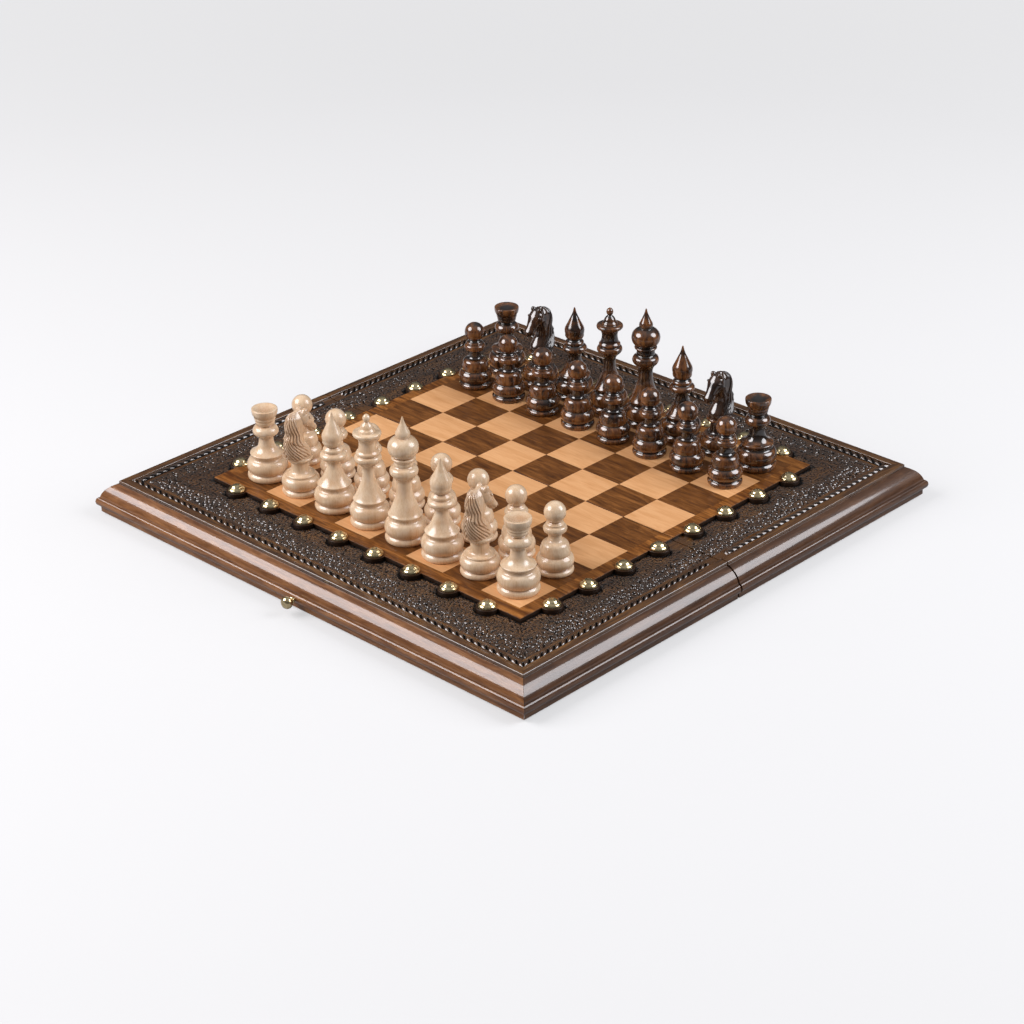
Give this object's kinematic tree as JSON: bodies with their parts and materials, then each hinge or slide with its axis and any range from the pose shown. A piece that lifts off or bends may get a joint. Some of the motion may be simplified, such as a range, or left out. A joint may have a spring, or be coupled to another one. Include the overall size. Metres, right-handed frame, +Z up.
{
  "type": "folding chess and backgammon board",
  "caption": "Carved wooden folding case: inlaid chess field with brass studs outside, hinged backgammon trays inside, a brass hook latch and a set of turned chessmen.",
  "frame": {"origin": "under the middle of the fold, level with the lowest point of the hinge knuckles", "axes": "+X along the fold, +Y from the white side to the dark side, +Z up out of the chess field"},
  "size_m": [0.4, 0.4164, 0.1125],
  "materials": {
    "case_wood": "dark walnut, gloss lacquer",
    "carved_wood": "carved walnut, dark stained and lacquered",
    "tray_wood": "walnut, satin lacquer",
    "field_wood": "walnut, gloss lacquer",
    "maple_inlay": "amber maple, gloss lacquer",
    "light_point_wood": "maple veneer, satin lacquer",
    "dark_point_wood": "dark walnut veneer, satin lacquer",
    "brass": "polished",
    "white_men_wood": "pale maple, gloss lacquer",
    "dark_men_wood": "dark walnut, gloss lacquer"
  },
  "bodies": {
    "front_half": {"front_case_rails": "case_wood", "front_fold_rail": "case_wood", "front_core_panel": "tray_wood", "front_carved_border": "carved_wood", "front_edge_moulding": "case_wood", "front_field_plate": "field_wood", "front_light_squares": "maple_inlay", "front_studs": "brass", "front_light_points": "light_point_wood", "front_dark_points": "dark_point_wood", "front_hinge_screws": "brass", "front_latch_knob": "brass", "front_hinge_leaves": "brass", "hinge_pins": "brass"},
    "rear_half": {"rear_case_rails": "case_wood", "rear_fold_rail": "case_wood", "rear_core_panel": "tray_wood", "rear_carved_border": "carved_wood", "rear_edge_moulding": "case_wood", "rear_field_plate": "field_wood", "rear_light_squares": "maple_inlay", "rear_studs": "brass", "rear_light_points": "light_point_wood", "rear_dark_points": "dark_point_wood", "rear_hinge_screws": "brass", "rear_latch_knob": "brass", "rear_hinge_leaves": "brass"},
    "latch_hook": {"latch_hook": "brass"},
    "white_rook_a1": {"white_rook_a1": "white_men_wood"},
    "white_knight_b1": {"white_knight_b1": "white_men_wood"},
    "white_bishop_c1": {"white_bishop_c1": "white_men_wood"},
    "white_queen_d1": {"white_queen_d1": "white_men_wood"},
    "white_king_e1": {"white_king_e1": "white_men_wood"},
    "white_bishop_f1": {"white_bishop_f1": "white_men_wood"},
    "white_knight_g1": {"white_knight_g1": "white_men_wood"},
    "white_rook_h1": {"white_rook_h1": "white_men_wood"},
    "white_pawn_a2": {"white_pawn_a2": "white_men_wood"},
    "white_pawn_b2": {"white_pawn_b2": "white_men_wood"},
    "white_pawn_c2": {"white_pawn_c2": "white_men_wood"},
    "white_pawn_d2": {"white_pawn_d2": "white_men_wood"},
    "white_pawn_e2": {"white_pawn_e2": "white_men_wood"},
    "white_pawn_f2": {"white_pawn_f2": "white_men_wood"},
    "white_pawn_g2": {"white_pawn_g2": "white_men_wood"},
    "white_pawn_h2": {"white_pawn_h2": "white_men_wood"},
    "dark_pawn_a7": {"dark_pawn_a7": "dark_men_wood"},
    "dark_pawn_b7": {"dark_pawn_b7": "dark_men_wood"},
    "dark_pawn_c7": {"dark_pawn_c7": "dark_men_wood"},
    "dark_pawn_d7": {"dark_pawn_d7": "dark_men_wood"},
    "dark_pawn_e7": {"dark_pawn_e7": "dark_men_wood"},
    "dark_pawn_f7": {"dark_pawn_f7": "dark_men_wood"},
    "dark_pawn_g7": {"dark_pawn_g7": "dark_men_wood"},
    "dark_pawn_h7": {"dark_pawn_h7": "dark_men_wood"},
    "dark_rook_a8": {"dark_rook_a8": "dark_men_wood"},
    "dark_knight_b8": {"dark_knight_b8": "dark_men_wood"},
    "dark_bishop_c8": {"dark_bishop_c8": "dark_men_wood"},
    "dark_queen_d8": {"dark_queen_d8": "dark_men_wood"},
    "dark_king_e8": {"dark_king_e8": "dark_men_wood"},
    "dark_bishop_f8": {"dark_bishop_f8": "dark_men_wood"},
    "dark_knight_g8": {"dark_knight_g8": "dark_men_wood"},
    "dark_rook_h8": {"dark_rook_h8": "dark_men_wood"}
  },
  "joints": [
    {"name": "fold", "type": "hinge", "parent": "front_half", "child": "rear_half", "pos_m": [0, 0, 0.0015], "axis": [-1, 0, 0], "range_deg": [0, 180]},
    {"name": "hook_swing", "type": "hinge", "parent": "rear_half", "child": "latch_hook", "pos_m": [0, 0.2008, 0.00895], "axis": [0, 1, 0], "range_deg": [0, 90]},
    {"name": "white_rook_a1_lift", "type": "slide", "parent": "front_half", "child": "white_rook_a1", "axis": [0, 0, 1], "range_m": [0, 0.12]},
    {"name": "white_knight_b1_lift", "type": "slide", "parent": "front_half", "child": "white_knight_b1", "axis": [0, 0, 1], "range_m": [0, 0.12]},
    {"name": "white_bishop_c1_lift", "type": "slide", "parent": "front_half", "child": "white_bishop_c1", "axis": [0, 0, 1], "range_m": [0, 0.12]},
    {"name": "white_queen_d1_lift", "type": "slide", "parent": "front_half", "child": "white_queen_d1", "axis": [0, 0, 1], "range_m": [0, 0.12]},
    {"name": "white_king_e1_lift", "type": "slide", "parent": "front_half", "child": "white_king_e1", "axis": [0, 0, 1], "range_m": [0, 0.12]},
    {"name": "white_bishop_f1_lift", "type": "slide", "parent": "front_half", "child": "white_bishop_f1", "axis": [0, 0, 1], "range_m": [0, 0.12]},
    {"name": "white_knight_g1_lift", "type": "slide", "parent": "front_half", "child": "white_knight_g1", "axis": [0, 0, 1], "range_m": [0, 0.12]},
    {"name": "white_rook_h1_lift", "type": "slide", "parent": "front_half", "child": "white_rook_h1", "axis": [0, 0, 1], "range_m": [0, 0.12]},
    {"name": "white_pawn_a2_lift", "type": "slide", "parent": "front_half", "child": "white_pawn_a2", "axis": [0, 0, 1], "range_m": [0, 0.12]},
    {"name": "white_pawn_b2_lift", "type": "slide", "parent": "front_half", "child": "white_pawn_b2", "axis": [0, 0, 1], "range_m": [0, 0.12]},
    {"name": "white_pawn_c2_lift", "type": "slide", "parent": "front_half", "child": "white_pawn_c2", "axis": [0, 0, 1], "range_m": [0, 0.12]},
    {"name": "white_pawn_d2_lift", "type": "slide", "parent": "front_half", "child": "white_pawn_d2", "axis": [0, 0, 1], "range_m": [0, 0.12]},
    {"name": "white_pawn_e2_lift", "type": "slide", "parent": "front_half", "child": "white_pawn_e2", "axis": [0, 0, 1], "range_m": [0, 0.12]},
    {"name": "white_pawn_f2_lift", "type": "slide", "parent": "front_half", "child": "white_pawn_f2", "axis": [0, 0, 1], "range_m": [0, 0.12]},
    {"name": "white_pawn_g2_lift", "type": "slide", "parent": "front_half", "child": "white_pawn_g2", "axis": [0, 0, 1], "range_m": [0, 0.12]},
    {"name": "white_pawn_h2_lift", "type": "slide", "parent": "front_half", "child": "white_pawn_h2", "axis": [0, 0, 1], "range_m": [0, 0.12]},
    {"name": "dark_pawn_a7_lift", "type": "slide", "parent": "rear_half", "child": "dark_pawn_a7", "axis": [0, 0, 1], "range_m": [0, 0.12]},
    {"name": "dark_pawn_b7_lift", "type": "slide", "parent": "rear_half", "child": "dark_pawn_b7", "axis": [0, 0, 1], "range_m": [0, 0.12]},
    {"name": "dark_pawn_c7_lift", "type": "slide", "parent": "rear_half", "child": "dark_pawn_c7", "axis": [0, 0, 1], "range_m": [0, 0.12]},
    {"name": "dark_pawn_d7_lift", "type": "slide", "parent": "rear_half", "child": "dark_pawn_d7", "axis": [0, 0, 1], "range_m": [0, 0.12]},
    {"name": "dark_pawn_e7_lift", "type": "slide", "parent": "rear_half", "child": "dark_pawn_e7", "axis": [0, 0, 1], "range_m": [0, 0.12]},
    {"name": "dark_pawn_f7_lift", "type": "slide", "parent": "rear_half", "child": "dark_pawn_f7", "axis": [0, 0, 1], "range_m": [0, 0.12]},
    {"name": "dark_pawn_g7_lift", "type": "slide", "parent": "rear_half", "child": "dark_pawn_g7", "axis": [0, 0, 1], "range_m": [0, 0.12]},
    {"name": "dark_pawn_h7_lift", "type": "slide", "parent": "rear_half", "child": "dark_pawn_h7", "axis": [0, 0, 1], "range_m": [0, 0.12]},
    {"name": "dark_rook_a8_lift", "type": "slide", "parent": "rear_half", "child": "dark_rook_a8", "axis": [0, 0, 1], "range_m": [0, 0.12]},
    {"name": "dark_knight_b8_lift", "type": "slide", "parent": "rear_half", "child": "dark_knight_b8", "axis": [0, 0, 1], "range_m": [0, 0.12]},
    {"name": "dark_bishop_c8_lift", "type": "slide", "parent": "rear_half", "child": "dark_bishop_c8", "axis": [0, 0, 1], "range_m": [0, 0.12]},
    {"name": "dark_queen_d8_lift", "type": "slide", "parent": "rear_half", "child": "dark_queen_d8", "axis": [0, 0, 1], "range_m": [0, 0.12]},
    {"name": "dark_king_e8_lift", "type": "slide", "parent": "rear_half", "child": "dark_king_e8", "axis": [0, 0, 1], "range_m": [0, 0.12]},
    {"name": "dark_bishop_f8_lift", "type": "slide", "parent": "rear_half", "child": "dark_bishop_f8", "axis": [0, 0, 1], "range_m": [0, 0.12]},
    {"name": "dark_knight_g8_lift", "type": "slide", "parent": "rear_half", "child": "dark_knight_g8", "axis": [0, 0, 1], "range_m": [0, 0.12]},
    {"name": "dark_rook_h8_lift", "type": "slide", "parent": "rear_half", "child": "dark_rook_h8", "axis": [0, 0, 1], "range_m": [0, 0.12]}
  ]
}
